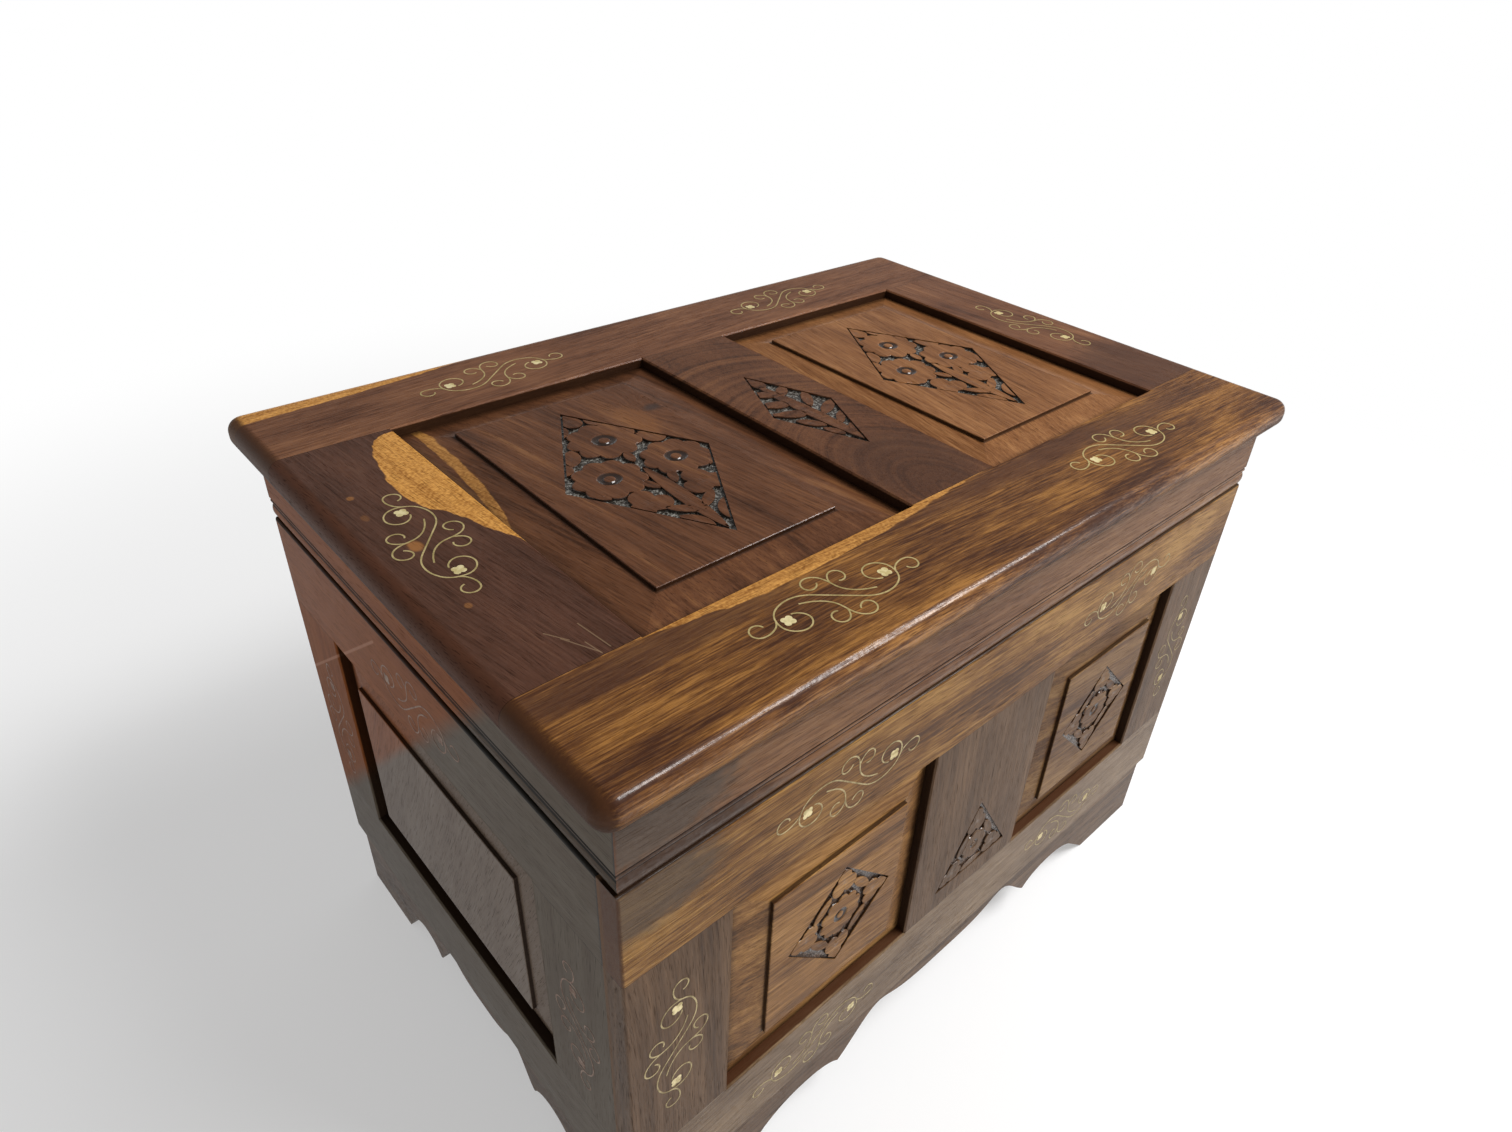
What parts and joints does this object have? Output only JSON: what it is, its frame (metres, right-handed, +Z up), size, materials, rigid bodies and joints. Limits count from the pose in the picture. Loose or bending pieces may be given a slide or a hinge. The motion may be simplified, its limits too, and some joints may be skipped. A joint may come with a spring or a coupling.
{
  "type": "dowry chest",
  "caption": "Panelled rosewood storage chest with a hinged lid, rounded lid edge, brass scroll inlay, carved lozenges and a scalloped plinth.",
  "frame": {"origin": "on the floor, under the middle of the chest", "axes": "+X along the length to the right, front faces -Y, +Z up"},
  "size_m": [0.75, 0.515, 0.5401],
  "materials": {
    "rosewood_dark": "dark brown Indian rosewood with fine long grain under glossy lacquer",
    "rosewood_golden": "golden brown rosewood with dark streaks under glossy lacquer",
    "rosewood_panel": "warm brown rosewood panel under glossy lacquer",
    "inside_wood": "bare planed secondary timber, matt",
    "brass_inlay": "pale gold brass wire and sheet, filed flush and lacquered over",
    "hinge_brass": "drawn brass, slightly dulled",
    "screw_brass": "slotted brass wood screws"
  },
  "bodies": {
    "chest": {"back_bottom_rail": "rosewood_dark", "back_left_panel": "rosewood_panel", "back_left_stile": "rosewood_dark", "back_muntin": "rosewood_dark", "back_right_panel": "rosewood_panel", "back_right_stile": "rosewood_dark", "back_top_rail": "rosewood_dark", "bottom_board": "inside_wood", "bottom_cleats": "inside_wood", "corner_posts": "inside_wood", "end_inlay_flowers": "brass_inlay", "end_inlay_scrolls": "brass_inlay", "front_bottom_rail": "rosewood_dark", "front_inlay_flowers": "brass_inlay", "front_inlay_scrolls": "brass_inlay", "front_left_panel": "rosewood_golden", "front_left_stile": "rosewood_dark", "front_muntin": "rosewood_dark", "front_right_panel": "rosewood_golden", "front_right_stile": "rosewood_dark", "front_top_rail": "rosewood_golden", "hinge_body_leaves": "hinge_brass", "hinge_body_screws": "screw_brass", "hinge_pins": "hinge_brass", "left_back_stile": "rosewood_dark", "left_bottom_rail": "rosewood_dark", "left_front_stile": "rosewood_dark", "left_panel": "rosewood_panel", "left_top_rail": "rosewood_dark", "plinth_back": "rosewood_dark", "plinth_corner_blocks": "inside_wood", "plinth_front": "rosewood_dark", "plinth_left": "rosewood_dark", "plinth_right": "rosewood_dark", "right_back_stile": "rosewood_dark", "right_bottom_rail": "rosewood_dark", "right_front_stile": "rosewood_dark", "right_panel": "rosewood_panel", "right_top_rail": "rosewood_dark"},
    "lid": {"hinge_lid_leaves": "hinge_brass", "hinge_lid_screws": "screw_brass", "lid_back_bead": "rosewood_dark", "lid_back_rail": "rosewood_dark", "lid_back_skirt": "rosewood_dark", "lid_corner_blocks": "inside_wood", "lid_front_bead": "rosewood_dark", "lid_front_rail": "rosewood_golden", "lid_front_skirt": "rosewood_dark", "lid_inlay_flowers": "brass_inlay", "lid_inlay_scrolls": "brass_inlay", "lid_left_bead": "rosewood_dark", "lid_left_panel": "rosewood_panel", "lid_left_skirt": "rosewood_dark", "lid_left_stile": "rosewood_dark", "lid_muntin": "rosewood_dark", "lid_right_bead": "rosewood_dark", "lid_right_panel": "rosewood_golden", "lid_right_skirt": "rosewood_dark", "lid_right_stile": "rosewood_dark"}
  },
  "joints": [
    {"name": "lid_hinge", "type": "hinge", "parent": "chest", "child": "lid", "pos_m": [0, 0.2468, 0.45015], "axis": [-1, 0, 0], "range_deg": [0, 100]}
  ]
}
